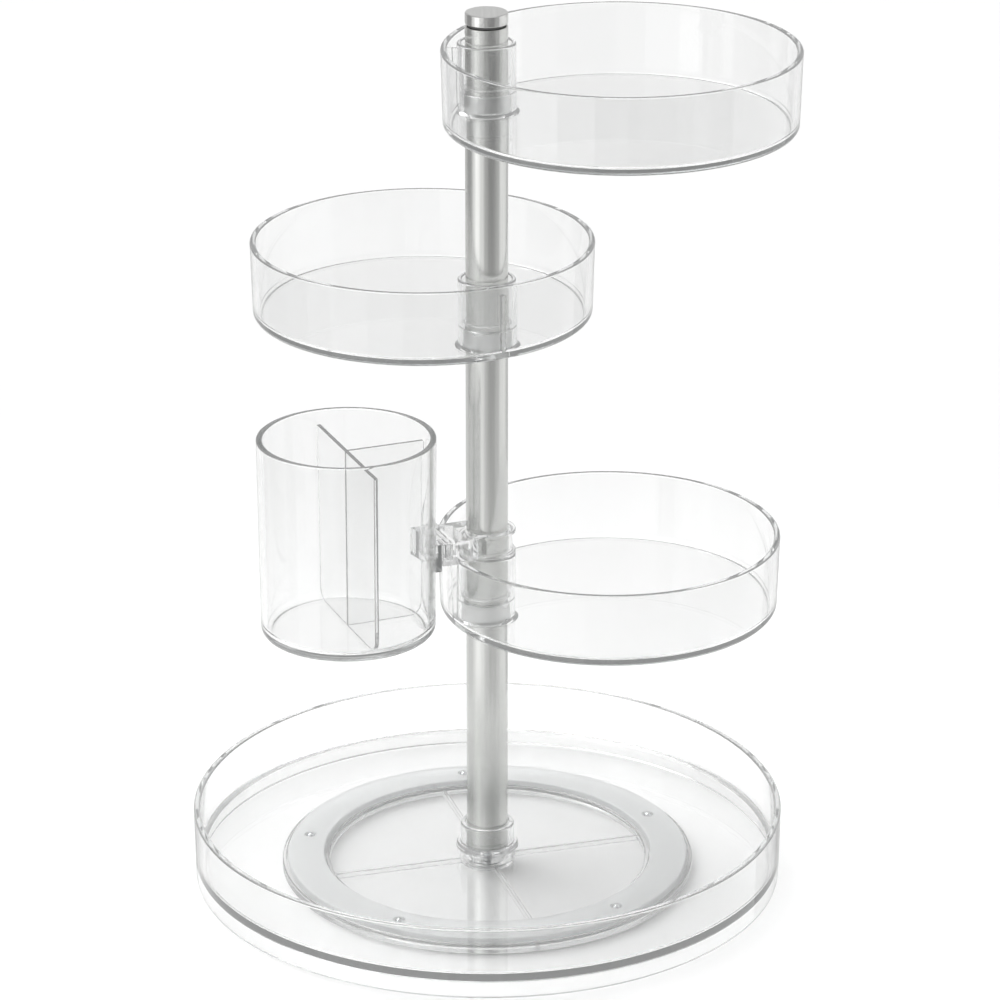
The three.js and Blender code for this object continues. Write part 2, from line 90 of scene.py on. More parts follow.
ARM_TURN = 201.9
ARM_BOTTOM = 170.3
ARM_TOP = 183
BEAM_BOTTOM = 171.8
ARM_BORE = 10.65
ARM_RING_RADIUS = 14
ARM_WAIST_RADIUS = 12.4
ARM_FLANGE = 1.8
ARM_HALF_WIDTH = 12.5
ARM_SKIN = 2.5
PLATE_NEAR = 20.6
PLATE_FAR = 23
PLATE_HALF_WIDTH = 14.5
CHANNEL_LIP_NEAR = 26.4
CHANNEL_LIP_FAR = 28.6
CHANNEL_HALF_MOUTH = 6.2
CHANNEL_FLOOR = 1.8

CUP_OFFSET = 72.2
CUP_BOTTOM = 140.1
CUP_RADIUS = 43.05
CUP_DRAFT = 0.8
CUP_HEIGHT = 99.5
CUP_WALL = 3
CUP_FLOOR = 2.8
CUP_CORNER = 4
LUG_NEAR = 23.4
LUG_FAR = 26
LUG_HALF_WIDTH = 11.9
LUG_BOTTOM = 173.9
LUG_TOP = 182.9
WEB_HALF_WIDTH = 5.5
PAD_FACE = 29
PAD_BOTTOM = 169.3
PAD_TOP = 183.3
DIVIDER_THICKNESS = 2
DIVIDER_BOTTOM = 143.2
DIVIDER_TOP = 232.9
DIVIDER_FOOT_REACH = 38.85
DIVIDER_TOP_REACH = 39.45
DIVIDER_CORNER = 6.5

POLE_RADIUS = 10.2
POLE_WALL = 1.2
POLE_BOTTOM = 13.2
TUBE_TOP = 434.5
CAP_BOTTOM = 435.8
CAP_TOP = 441.2
CAP_BEVEL = 0.55
CAP_PIN_RADIUS = 4
CAP_PIN_LENGTH = 11
PLUG_RADIUS = 8.6
PLUG_BORE = 4.4
PLUG_FLANGE_RADIUS = 9.3
TOP_PLUG_LENGTH = 13  # below the tube's top
TOP_PLUG_NECK = 434.8
TOP_PLUG_TOP = 435.5
BOTTOM_PLUG = (13.5, 33.5)
COLLAR_RADIUS = 11.45
COLLAR_HEIGHT = 12

BEARING_RADIUS = 90.5
BALL_RADIUS = 2.55
BALL_HEIGHT = 6.75
BALL_COUNT = 5
BALL_START = 26
POCKET_RADIUS = 3
CAGE_INNER = 81.4
CAGE_OUTER = 99.6
CAGE_BOTTOM = 4.3
CAGE_TOP = 8.5
FOOT_INNER = 78.7
FOOT_OUTER = 102.3
FOOT_WALL = 2
FOOT_BOTTOM = 1.3
RACE_TOP = 3.9
FOOT_TOP = 6.2
HUB_RADIUS = 13.75
HUB_BORE = 7.45
WEB_BOTTOM = 3.7
WASHER_POCKET = 9.85
HUB_TOP = 9.2
WEB_TOP = 4.9
SPOKE_COUNT = 4
SPOKE_START = 16.5
SPOKE_BOTTOM = 1.5
SPOKE_TOP = 5.2
SPOKE_HALF_WIDTH = 1
SPOKE_EDGE = 0.12
PAD_RADIUS = 6
PAD_THICKNESS = 1
PAD_HOLLOW = 0.15  # the middle of a pad stands this far off the table
PAD_HOLLOW_RADIUS = PAD_RADIUS * 0.55
PAD_RING_RADIUS = PAD_RADIUS * 0.62
WASHER_RADIUS = 9.45
WASHER_BOTTOM = 2.4
WASHER_TOP = 3.4
SCREW_HEAD_RADIUS = 4.4
SCREW_FACE_RADIUS = SCREW_HEAD_RADIUS * 0.8
SCREW_HEAD_BOTTOM = 0.9
SCREW_HEAD_TOP = 2.1
SCREW_RADIUS = 2
SCREW_TOP = 33.2
SCREW_RIM_BOTTOM = 1.5
SLOT_HALF_LENGTH = 2.6  # the cross slot in the screw's head
SLOT_HALF_WIDTH = 0.55
SLOT_TOP = 1.6

# ---- Fineness ----
ARC_STEP = math.radians(15)
SIDES_LARGE = 256
SIDES_TRAY = 192
SIDES_CUP = 144
SIDES_POLE = 96
SIDES_SMALL = 48
SHARP_ANGLE = math.radians(32)
PAST = 2  # a cutting shape runs this far past the face it cuts
APART = 0.01  # keeps the tops of two joined solids out of one plane
RIM_ROUNDING = 0.25  # a vessel's rim is rounded by this share of its wall


# ---- Outlines ----
def fillet_points(corner, before, after, radius):
    """Points on the arc that rounds one corner of an outline."""
    half = before.angle(after) / 2
    tangent = radius / math.tan(half)
    centre = corner + (before + after).normalized() * (radius / math.sin(half))
    start = corner + before * tangent - centre
    turn = math.pi - 2 * half
    steps = max(2, math.ceil(turn / ARC_STEP))
    side = 1 if before.cross(after) < 0 else -1
    return [centre + Matrix.Rotation(side * turn * i / steps, 2) @ start for i in range(steps + 1)]


def rounded(corners):
    """Turns (x, y) or (x, y, fillet radius) corners of a closed outline into its points."""
    points = []
    for i, corner in enumerate(corners):
        here = Vector(corner[:2])
        if len(corner) == 2:
            points.append(here)
            continue
        before = (Vector(corners[i - 1][:2]) - here).normalized()
        after = (Vector(corners[(i + 1) % len(corners)][:2]) - here).normalized()
        points.extend(fillet_points(here, before, after, corner[2]))
    return points


def polar(radius, degrees, height=0):
    angle = math.radians(degrees)
    return Vector((radius * math.cos(angle), radius * math.sin(angle), height))


# ---- Solids ----
def to_mesh(bm):
    bmesh.ops.recalc_face_normals(bm, faces=bm.faces)
    mesh = bpy.data.meshes.new("solid")
    bm.to_mesh(mesh)
    bm.free()
    return mesh


def lathe(corners, sides):
    """A closed outline of (radius, height) corners, turned about the Z axis."""
    outline = rounded(corners)
    bm = bmesh.new()
    rings = []
    for radius, height in outline:
        if radius < 1e-6:
            rings.append([bm.verts.new((0, 0, height))] * sides)
        else:
            rings.append([bm.verts.new(polar(radius, 360 * k / sides, height)) for k in range(sides)])
    for i, ring in enumerate(rings):
        add_band(bm, ring, rings[(i + 1) % len(rings)])
    return to_mesh(bm)


def add_band(bm, low, high):
    """Joins two rings of a lathe with faces. A ring on the axis is one vertex repeated."""
    for k in range(len(low)):
        following = (k + 1) % len(low)
        loop = [low[k], low[following], high[following], high[k]]
        face = [v for n, v in enumerate(loop) if v not in loop[:n]]
        if len(face) > 2:
            bm.faces.new(face)


def prism(corners, bottom, top, edge=0.0):
    """An outline of (x, y) corners raised from bottom to top, with its rims rounded by edge."""
    bm = bmesh.new()
    base = bm.faces.new([bm.verts.new((x, y, bottom)) for x, y in rounded(corners)])
    made = bmesh.ops.extrude_face_region(bm, geom=[base])
    raised = [v for v in made["geom"] if isinstance(v, bmesh.types.BMVert)]
    bmesh.ops.translate(bm, verts=raised, vec=(0, 0, top - bottom))
    if edge:
        sharp = [e for e in bm.edges if e.is_manifold and e.calc_face_angle() > SHARP_ANGLE]
        bmesh.ops.bevel(bm, geom=sharp, offset=edge, segments=3, affect="EDGES", profile=0.5)
    return to_mesh(bm)


def block(x, y, z, edge=0.0):
    corners = [(x[0], y[0]), (x[1], y[0]), (x[1], y[1]), (x[0], y[1])]
    return prism(corners, z[0], z[1], edge)


def moved(mesh, turn=0.0, shift=(0, 0, 0)):
    mesh.transform(Matrix.Translation(shift) @ Matrix.Rotation(math.radians(turn), 4, "Z"))
    return mesh


def baked(obj):
    """The object's mesh with its modifiers applied; the object is removed."""
    graph = bpy.context.evaluated_depsgraph_get()
    mesh = bpy.data.meshes.new_from_object(obj.evaluated_get(graph))
    bpy.data.objects.remove(obj)
    return mesh


def boolean(mesh, tools, operation):
    scene = bpy.context.scene
    result = bpy.data.objects.new("result", mesh)
    scene.collection.objects.link(result)
    helpers = []
    for tool in tools:
        helper = bpy.data.objects.new("tool", tool)
        scene.collection.objects.link(helper)
        step = result.modifiers.new(operation, "BOOLEAN")
        step.operation = operation
        step.solver = "EXACT"
        step.object = helper
        helpers.append(helper)
    made = baked(result)
    for helper in helpers:
        bpy.data.objects.remove(helper)
    return made


def join(mesh, *others):
    return boolean(mesh, others, "UNION")


def cut(mesh, *others):
    return boolean(mesh, others, "DIFFERENCE")


def place(mesh, name, body, material):
    """Shows a mesh for the CAD node of the same name, riding on its body."""
    mesh.transform(Matrix.Scale(MM, 4))
    mesh.shade_smooth()
    mesh.set_sharp_from_angle(angle=SHARP_ANGLE)
    mesh.materials.clear()
    mesh.materials.append(material)
    obj = bpy.data.objects.new(f"{name}_look", mesh)
    bpy.context.scene.collection.objects.link(obj)
    weighted = obj.modifiers.new("normals", "WEIGHTED_NORMAL")
    weighted.keep_sharp = True
    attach(obj, body)
    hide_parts(name)
    return obj


# ---- Materials ----
NOISE_RANGE = (0.3, 0.7)  # noise values lie mostly between these
PLASTIC_IOR = 1.49
MILKY_IOR = 1.45
PLASTIC_ABSORPTION = (0.2, 0.24, 0.23)
PLASTIC_SHADOW = 0.995  # share of a shadow ray that passes each face of clear plastic
WAVE_MM = 0.01
# Clear plastic paints an even grey glow on rays reflected more times than this, in place of the light and
# shade at its edges.
EDGE_BOUNCES = 7.5


def new_material(name):
    material = bpy.data.materials.new(name)
    material.use_nodes = True
    tree = material.node_tree
    return material, tree, tree.nodes["Principled BSDF"]


def noise(tree, scale, stretch=(1, 1, 1), detail=3.0):
    """Noise in the object's own coordinates. A small value in stretch draws it out along that axis."""
    place_node = tree.nodes.new("ShaderNodeTexCoord")
    mapping = tree.nodes.new("ShaderNodeMapping")
    mapping.inputs["Scale"].default_value = stretch
    texture = tree.nodes.new("ShaderNodeTexNoise")
    texture.inputs["Scale"].default_value = scale
    texture.inputs["Detail"].default_value = detail
    tree.links.new(place_node.outputs["Object"], mapping.inputs["Vector"])
    tree.links.new(mapping.outputs["Vector"], texture.inputs["Vector"])
    return texture.outputs["Fac"]


def map_range(tree, value, old, new):
    """The value moved from the old range to the new one."""
    node = tree.nodes.new("ShaderNodeMapRange")
    node.inputs["From Min"].default_value = old[0]
    node.inputs["From Max"].default_value = old[1]
    node.inputs["To Min"].default_value = new[0]
    node.inputs["To Max"].default_value = new[1]
    tree.links.new(value, node.inputs["Value"])
    return node.outputs["Result"]


def ranged(tree, value, low, high):
    """The noise value spread from low to high."""
    return map_range(tree, value, NOISE_RANGE, (low, high))


def bump(tree, value, strength, depth_mm, normal=None):
    node = tree.nodes.new("ShaderNodeBump")
    node.inputs["Strength"].default_value = strength
    node.inputs["Distance"].default_value = depth_mm * MM
    tree.links.new(value, node.inputs["Height"])
    if normal:
        tree.links.new(normal, node.inputs["Normal"])
    return node.outputs["Normal"]


def tinted(tree, value, dark, light):
    """A colour between dark and light, by a noise value."""
    ramp = tree.nodes.new("ShaderNodeValToRGB")
    ramp.color_ramp.elements[0].position = NOISE_RANGE[0]
    ramp.color_ramp.elements[0].color = (*dark, 1)
    ramp.color_ramp.elements[1].position = NOISE_RANGE[1]
    ramp.color_ramp.elements[1].color = (*light, 1)
    tree.links.new(value, ramp.inputs["Fac"])
    return ramp.outputs["Color"]


def above(tree, value, limit):
    """1 where the value is above the limit, otherwise 0."""
    node = tree.nodes.new("ShaderNodeMath")
    node.operation = "GREATER_THAN"
    node.inputs[1].default_value = limit
    tree.links.new(value, node.inputs[0])
    return node.outputs["Value"]


def mixed(tree, share, first, second):
    """The second shader by the given share, over the first."""
    node = tree.nodes.new("ShaderNodeMixShader")
    tree.links.new(share, node.inputs["Fac"])
    tree.links.new(first, node.inputs[1])
    tree.links.new(second, node.inputs[2])
    return node.outputs["Shader"]


def clear_plastic(name, colour, roughness, density, edge):
    """Clear moulded plastic: faint waves, fine surface variation, and a light shadow.

    A ray that has been reflected more than EDGE_BOUNCES times sees an even grey glow, edge: painted light
    and shade that stands in for what such a ray would find at the plastic's edges.
    """
    material, tree, shader = new_material(name)
    links = tree.links
    shader.inputs["Transmission Weight"].default_value = 1
    shader.inputs["IOR"].default_value = PLASTIC_IOR
    shader.inputs["Base Color"].default_value = (*colour, 1)
    fine = noise(tree, 260, detail=4)
    links.new(ranged(tree, fine, *roughness), shader.inputs["Roughness"])
    waves = bump(tree, noise(tree, 28, detail=1), 0.5, WAVE_MM)
    links.new(bump(tree, fine, 0.15, 0.004, waves), shader.inputs["Normal"])
    absorb = tree.nodes.new("ShaderNodeVolumeAbsorption")
    absorb.inputs["Color"].default_value = (*PLASTIC_ABSORPTION, 1)
    absorb.inputs["Density"].default_value = density
    through = tree.nodes.new("ShaderNodeBsdfTransparent")
    through.inputs["Color"].default_value = (PLASTIC_SHADOW, PLASTIC_SHADOW, PLASTIC_SHADOW, 1)
    # Painted light and shade at the plastic's edges: an even grey glow.
    painted_edge_glow = tree.nodes.new("ShaderNodeEmission")
    painted_edge_glow.inputs["Color"].default_value = (edge, edge, edge, 1)
    path = tree.nodes.new("ShaderNodeLightPath")
    deep = above(tree, path.outputs["Glossy Depth"], EDGE_BOUNCES)
    lit = mixed(tree, deep, shader.outputs["BSDF"], painted_edge_glow.outputs["Emission"])
    surface = mixed(tree, path.outputs["Is Shadow Ray"], lit, through.outputs["BSDF"])
    output = tree.nodes["Material Output"]
    links.new(surface, output.inputs["Surface"])
    links.new(absorb.outputs["Volume"], output.inputs["Volume"])
    return material


def metal(name, dark, light, roughness, grain, grain_stretch, grain_mm):
    """Metal with a fine grain along one direction and a slow change of roughness."""
    material, tree, shader = new_material(name)
    shader.inputs["Metallic"].default_value = 1
    lines = noise(tree, grain, grain_stretch, detail=6)
    tree.links.new(tinted(tree, lines, dark, light), shader.inputs["Base Color"])
    slow = noise(tree, 45, detail=3)
    tree.links.new(ranged(tree, slow, *roughness), shader.inputs["Roughness"])
    tree.links.new(bump(tree, lines, 0.25, grain_mm), shader.inputs["Normal"])
    return material


def solid_plastic(name, dark, light, roughness, transmission=0.0):
    """Opaque or milky moulded plastic or rubber with a fine skin."""
    material, tree, shader = new_material(name)
    shader.inputs["Transmission Weight"].default_value = transmission
    shader.inputs["IOR"].default_value = MILKY_IOR
    fine = noise(tree, 900, detail=5)
    tree.links.new(tinted(tree, noise(tree, 60), dark, light), shader.inputs["Base Color"])
    tree.links.new(ranged(tree, fine, *roughness), shader.inputs["Roughness"])
    tree.links.new(bump(tree, fine, 0.3, 0.02), shader.inputs["Normal"])
    return material


CLEAR = clear_plastic(
    "clear_plastic",
    colour=(0.945, 0.947, 0.946),
    roughness=(0.0, 0.02),
    density=4,
    # edge: the tone of the grey glow painted on the plastic's edges
    edge=0.36,
)
# A lighter copy of the clear plastic: its paler colour is painted light for the foot ring, which lies in
# the shade under the base. Its edge is the tone of its painted grey edge glow.
CLEAR_FOOT = clear_plastic(
    "clear_foot_plastic",
    colour=(0.97, 0.972, 0.972),
    roughness=(0.01, 0.04),
    density=2,
    edge=0.4,
)
FROSTED = solid_plastic(
    "frosted_plastic",
    dark=(0.94, 0.95, 0.95),
    light=(0.97, 0.98, 0.98),
    roughness=(0.35, 0.5),
    transmission=0.6,
)
RUBBER = solid_plastic(
    "pad_rubber",
    dark=(0.66, 0.66, 0.65),
    light=(0.72, 0.72, 0.71),
    roughness=(0.6, 0.8),
)
DARK_PLASTIC = solid_plastic(
    "plug_plastic",
    dark=(0.16, 0.162, 0.16),
    light=(0.2, 0.202, 0.2),
    roughness=(0.45, 0.6),
)
SATIN = metal(
    "satin_metal",
    dark=(0.6, 0.605, 0.59),
    light=(0.64, 0.645, 0.63),
    roughness=(0.22, 0.26),
    grain=900,
    grain_stretch=(1, 1, 0.02),
    grain_mm=0.001,
)
POLISHED = metal(
    "cap_metal",
    dark=(0.63, 0.63, 0.62),
    light=(0.68, 0.68, 0.67),
    roughness=(0.16, 0.22),
    grain=700,
    grain_stretch=(1, 0.05, 1),
    grain_mm=0.003,
)
COLLAR = metal(
    "collar_metal",
    dark=(0.66, 0.665, 0.66),
    light=(0.7, 0.705, 0.7),
    roughness=(0.26, 0.32),
    grain=500,
    grain_stretch=(0.3, 0.3, 1),
    grain_mm=0.002,
)
STEEL = metal(
    "bearing_steel",
    dark=(0.72, 0.73, 0.74),
    light=(0.78, 0.79, 0.8),
    roughness=(0.12, 0.2),
    grain=400,
    grain_stretch=(1, 1, 1),
    grain_mm=0.002,
)


# ---- Foot ring, pads and bearing ----
def foot_ring():
    channel = lathe(
        [
            (FOOT_INNER, FOOT_BOTTOM, 0.4),
            (FOOT_OUTER, FOOT_BOTTOM, 0.8),
            (FOOT_OUTER, FOOT_TOP, 0.7),
            (FOOT_OUTER - FOOT_WALL, FOOT_TOP, 0.5),
            (FOOT_OUTER - FOOT_WALL, RACE_TOP, 0.4),
            (FOOT_INNER + FOOT_WALL, RACE_TOP, 0.4),
            (FOOT_INNER + FOOT_WALL, FOOT_TOP, 0.5),
            (FOOT_INNER, FOOT_TOP, 0.7),
        ],
        SIDES_LARGE,
    )
    hub = lathe(
        [(0, SPOKE_BOTTOM), (HUB_RADIUS, SPOKE_BOTTOM, 0.5), (HUB_RADIUS, HUB_TOP, 0.5), (0, HUB_TOP)],
        SIDES_POLE,
    )
    near, far = HUB_RADIUS - 1, FOOT_INNER + 1
    web = lathe([(near, WEB_BOTTOM), (far, WEB_BOTTOM), (far, WEB_TOP), (near, WEB_TOP)], SIDES_LARGE)
    spokes = []
    for i in range(SPOKE_COUNT):
        width = (-SPOKE_HALF_WIDTH, SPOKE_HALF_WIDTH)
        spoke = block((near, far), width, (SPOKE_BOTTOM, SPOKE_TOP), SPOKE_EDGE)
        spokes.append(moved(spoke, SPOKE_START + 360 * i / SPOKE_COUNT))
    whole = join(channel, hub, web, *spokes)
    bore = lathe(
        [
            (0, 0),
            (WASHER_POCKET, 0),
            (WASHER_POCKET, WEB_BOTTOM),
            (HUB_BORE, WEB_BOTTOM),
            (HUB_BORE, HUB_TOP + PAST),
            (0, HUB_TOP + PAST),
        ],
        SIDES_SMALL,
    )
    return cut(whole, bore)


def foot_pad():
    return lathe(
        [
            (0, PAD_HOLLOW),
            (PAD_HOLLOW_RADIUS, PAD_HOLLOW, 0.2),
            (PAD_RING_RADIUS, 0, 0.1),
            (PAD_RADIUS, 0, 0.3),
            (PAD_RADIUS, PAD_THICKNESS, 0.3),
            (0, PAD_THICKNESS),
        ],
        SIDES_SMALL,
    )


def ball_cage():
    ring = lathe(
        [
            (CAGE_INNER, CAGE_BOTTOM, 0.5),
            (CAGE_OUTER, CAGE_BOTTOM, 0.5),
            (CAGE_OUTER, CAGE_TOP, 0.8),
            (CAGE_INNER, CAGE_TOP, 0.8),
        ],
        SIDES_LARGE,
    )
    pockets = []
    for i in range(BALL_COUNT):
        low, high = CAGE_BOTTOM - PAST, CAGE_TOP + PAST
        pocket = lathe([(0, low), (POCKET_RADIUS, low), (POCKET_RADIUS, high), (0, high)], SIDES_SMALL)
        pockets.append(moved(pocket, shift=polar(BEARING_RADIUS, BALL_START + 360 * i / BALL_COUNT)))
    return cut(ring, *pockets)


def ball():
    steps = 24
    half_circle = [polar(BALL_RADIUS, -90 + 180 * i / steps) for i in range(steps + 1)]
    outline = [(max(0, point.x), point.y) for point in half_circle]
    outline[0] = (0, -BALL_RADIUS)
    outline[-1] = (0, BALL_RADIUS)
    return lathe(outline, SIDES_SMALL)


# ---- Base tray and its pivot ----
def base_tray():
    inside = BASE_RADIUS - BASE_WALL
    inside_foot = inside - BASE_DRAFT
    return lathe(
        [
            (SCREW_BORE, SPIGOT_BOTTOM, 0.2),
            (SPIGOT_RADIUS, SPIGOT_BOTTOM, 0.5),
            (SPIGOT_RADIUS, BASE_UNDERSIDE, 0.3),
            (inside_foot, BASE_UNDERSIDE, 0.8),
            (inside_foot, BASE_SKIRT_BOTTOM, 0.8),
            (BASE_RADIUS - BASE_DRAFT, BASE_SKIRT_BOTTOM, 1.2),
            (BASE_RADIUS, BASE_RIM, 1.0),
            (inside, BASE_RIM, 1.0),
            (inside_foot, BASE_FLOOR_TOP, BASE_FILLET),
            (BEAD_RADIUS, BASE_FLOOR_TOP, 0.4),
            (BEAD_RADIUS, BEAD_TOP, 1),
            (SOCKET_RADIUS, BEAD_TOP, 0.4),
            (SOCKET_RADIUS, SOCKET_TOP, 0.8),
            (SOCKET_BORE, SOCKET_TOP, 0.6),
            (SOCKET_BORE, BASE_FLOOR_TOP),
            (SCREW_BORE, BASE_FLOOR_TOP),
        ],
        SIDES_LARGE,
    )


def pivot_washer():
    return lathe(
        [
            (SCREW_BORE, WASHER_BOTTOM, 0.15),
            (WASHER_RADIUS, WASHER_BOTTOM, 0.25),
            (WASHER_RADIUS, WASHER_TOP, 0.25),
            (SCREW_BORE, WASHER_TOP, 0.15),
        ],
        SIDES_POLE,
    )


def pivot_screw():
    body = lathe(
        [
            (0, SCREW_HEAD_BOTTOM),
            (SCREW_FACE_RADIUS, SCREW_HEAD_BOTTOM, 0.5),
            (SCREW_HEAD_RADIUS, SCREW_RIM_BOTTOM, 0.3),
            (SCREW_HEAD_RADIUS, SCREW_HEAD_TOP, 0.15),
            (SCREW_RADIUS, SCREW_HEAD_TOP),
            (SCREW_RADIUS, SCREW_TOP - SCREW_RADIUS, 1),
            (0, SCREW_TOP),
        ],
        SIDES_SMALL,
    )
    along = (-SLOT_HALF_LENGTH, SLOT_HALF_LENGTH)
    across = (-SLOT_HALF_WIDTH, SLOT_HALF_WIDTH)
    return cut(body, block(along, across, (0, SLOT_TOP)), block(across, along, (0, SLOT_TOP)))


# ---- Pole ----
def pole_tube():
    inner = POLE_RADIUS - POLE_WALL
    return lathe(
        [
            (inner, POLE_BOTTOM, 0.2),
            (POLE_RADIUS, POLE_BOTTOM, 0.25),
            (POLE_RADIUS, TUBE_TOP, 0.35),
            (inner, TUBE_TOP, 0.2),
        ],
        SIDES_POLE,
    )


def pole_cap():
    return lathe(
        [
            (0, CAP_BOTTOM - CAP_PIN_LENGTH),
            (CAP_PIN_RADIUS, CAP_BOTTOM - CAP_PIN_LENGTH, 0.6),
            (CAP_PIN_RADIUS, CAP_BOTTOM),
            (POLE_RADIUS, CAP_BOTTOM, 0.35),
            (POLE_RADIUS, CAP_TOP - CAP_BEVEL, 0.35),
            (POLE_RADIUS - CAP_BEVEL, CAP_TOP, 0.35),
            (0, CAP_TOP),
        ],
        SIDES_POLE,
    )


def bottom_plug():
    low, high = BOTTOM_PLUG
    return lathe(
        [
            (SCREW_BORE, low, 0.2),
            (PLUG_RADIUS, low, 0.5),
            (PLUG_RADIUS, high, 0.5),
            (SCREW_BORE, high, 0.2),
        ],
        SIDES_POLE,
    )


def top_plug():
    low, neck, high = TUBE_TOP - TOP_PLUG_LENGTH, TOP_PLUG_NECK, TOP_PLUG_TOP
    return lathe(
        [
            (PLUG_BORE, low, 0.2),
            (PLUG_RADIUS, low, 0.5),
            (PLUG_RADIUS, neck),
            (PLUG_FLANGE_RADIUS, neck, 0.15),
            (PLUG_FLANGE_RADIUS, high, 0.15),
            (PLUG_BORE, high, 0.15),
        ],
        SIDES_POLE,
    )


def stop_collar():
    return lathe(
        [
            (LIP_BORE, 0, 0.2),
            (COLLAR_RADIUS, 0, 0.3),
            (COLLAR_RADIUS, COLLAR_HEIGHT, 0.3),
            (LIP_BORE, COLLAR_HEIGHT, 0.2),
        ],
        SIDES_POLE,
    )


# ---- Trays and cup ----
def vessel(radius, draft, height, wall, floor, corner, sides):
    """An open round vessel with a rounded rim, standing on z = 0."""
    foot = radius - draft
    edge = wall * RIM_ROUNDING
    return lathe(
        [
            (0, 0),
            (foot, 0, corner),
            (radius, height, edge),
            (radius - wall, height, edge),
            (foot - wall, floor, corner),
            (0, floor),
        ],
        sides,
    )


def tray():
    """A tray with the pole's axis as its own Z axis and its centre along +X."""
    dish = vessel(TRAY_RADIUS, TRAY_DRAFT, TRAY_HEIGHT, TRAY_WALL, TRAY_FLOOR, TRAY_CORNER, SIDES_TRAY)
    moved(dish, shift=(TRAY_OFFSET, 0, 0))
    sleeve = lathe(
        [
            (0, TRAY_FLOOR / 2),
            (SLEEVE_RADIUS + SLEEVE_FOOT, TRAY_FLOOR / 2),
            (SLEEVE_RADIUS + SLEEVE_FOOT, TRAY_FLOOR + SLEEVE_FOOT_EDGE),
            (SLEEVE_RADIUS, TRAY_FLOOR + SLEEVE_FOOT, 0.8),
            (SLEEVE_RADIUS, SLEEVE_TOP, 0.8),
            (0, SLEEVE_TOP),
        ],
        SIDES_POLE,
    )
    wall_inside = TRAY_RADIUS - TRAY_OFFSET - TRAY_WALL
    rib_length = (-wall_inside - TRAY_WALL / 2, -SLEEVE_BORE - RIB_INTO_SLEEVE)
    rib_width = (-RIB_THICKNESS / 2, RIB_THICKNESS / 2)
    rib = block(rib_length, rib_width, (TRAY_FLOOR / 2, RIB_TOP), 0.4)
    bore = lathe(
        [
            (0, -PAST),
            (SLEEVE_BORE + SLEEVE_CHAMFER, -PAST),
            (SLEEVE_BORE + SLEEVE_CHAMFER, 0),
            (SLEEVE_BORE, SLEEVE_CHAMFER),
            (SLEEVE_BORE, LIP_BOTTOM),
            (LIP_BORE, LIP_BOTTOM, 0.3),
            (LIP_BORE, LIP_TOP, 0.3),
            (SLEEVE_BORE, LIP_TOP),
            (SLEEVE_BORE, SLEEVE_TOP - SLEEVE_CHAMFER),
            (SLEEVE_BORE + SLEEVE_CHAMFER, SLEEVE_TOP),
            (SLEEVE_BORE + SLEEVE_CHAMFER, SLEEVE_TOP + PAST),
            (0, SLEEVE_TOP + PAST),
        ],
        SIDES_POLE,
    )
    return cut(join(dish, sleeve, rib), bore)


def cup_arm():
    ring = lathe(
        [
            (0, ARM_BOTTOM),
            (ARM_RING_RADIUS, ARM_BOTTOM, 0.5),
            (ARM_RING_RADIUS, ARM_BOTTOM + ARM_FLANGE, 0.5),
            (ARM_WAIST_RADIUS, ARM_BOTTOM + ARM_FLANGE, 0.4),
            (ARM_WAIST_RADIUS, ARM_TOP - ARM_FLANGE, 0.4),
            (ARM_RING_RADIUS, ARM_TOP - ARM_FLANGE, 0.5),
            (ARM_RING_RADIUS, ARM_TOP, 0.5),
            (0, ARM_TOP),
        ],
        SIDES_POLE,
    )
    wide, plate = ARM_HALF_WIDTH, PLATE_HALF_WIDTH
    beam = block((0, PLATE_FAR - 0.5), (-wide, wide), (BEAM_BOTTOM, ARM_TOP - APART), 0.5)
    channel = block((PLATE_NEAR, CHANNEL_LIP_FAR), (-plate, plate), (BEAM_BOTTOM, ARM_TOP - 2 * APART), 0.4)
    under = block(
        (ARM_RING_RADIUS, PLATE_NEAR),
        (ARM_SKIN - wide, wide - ARM_SKIN),
        (BEAM_BOTTOM - PAST, ARM_TOP - ARM_SKIN),
    )
    lip = CHANNEL_LIP_FAR - CHANNEL_LIP_NEAR
    slot_height = (BEAM_BOTTOM + CHANNEL_FLOOR, ARM_TOP + PAST)
    slot = block((PLATE_FAR, CHANNEL_LIP_NEAR), (lip - plate, plate - lip), slot_height)
    mouth_width = (-CHANNEL_HALF_MOUTH, CHANNEL_HALF_MOUTH)
    mouth = block((PLATE_FAR, CHANNEL_LIP_FAR + PAST), mouth_width, slot_height)
    low, high = ARM_BOTTOM - PAST, ARM_TOP + PAST
    bore = lathe([(0, low), (ARM_BORE, low), (ARM_BORE, high), (0, high)], SIDES_POLE)
    return cut(join(ring, beam, channel), under, slot, mouth, bore)


def cup_side_outline(near, half_width):
    """A plate's outline from its flat near face to the middle of the cup's wall."""
    middle = CUP_RADIUS - CUP_WALL / 2 - CUP_DRAFT / 2
    reach = math.degrees(math.asin(half_width / middle))
    steps = 8
    points = [(near, half_width), (near, -half_width)]
    for i in range(steps + 1):
        on_wall = polar(middle, 180 + reach - 2 * reach * i / steps)
        points.append((CUP_OFFSET + on_wall.x, on_wall.y))
    return points


def cup():
    """The cup's centre lies along +X from the pole's axis."""
    dish = vessel(CUP_RADIUS, CUP_DRAFT, CUP_HEIGHT, CUP_WALL, CUP_FLOOR, CUP_CORNER, SIDES_CUP)
    moved(dish, shift=(CUP_OFFSET, 0, CUP_BOTTOM))
    pad = prism(cup_side_outline(PAD_FACE, PLATE_HALF_WIDTH), PAD_BOTTOM, PAD_TOP, 0.3)
    lug_middle = (LUG_NEAR + LUG_FAR) / 2
    web = prism(cup_side_outline(lug_middle, WEB_HALF_WIDTH), LUG_BOTTOM, LUG_TOP - APART, 0.3)
    lug = block((LUG_NEAR, LUG_FAR), (-LUG_HALF_WIDTH, LUG_HALF_WIDTH), (LUG_BOTTOM, LUG_TOP), 0.5)
    return join(dish, pad, web, lug)


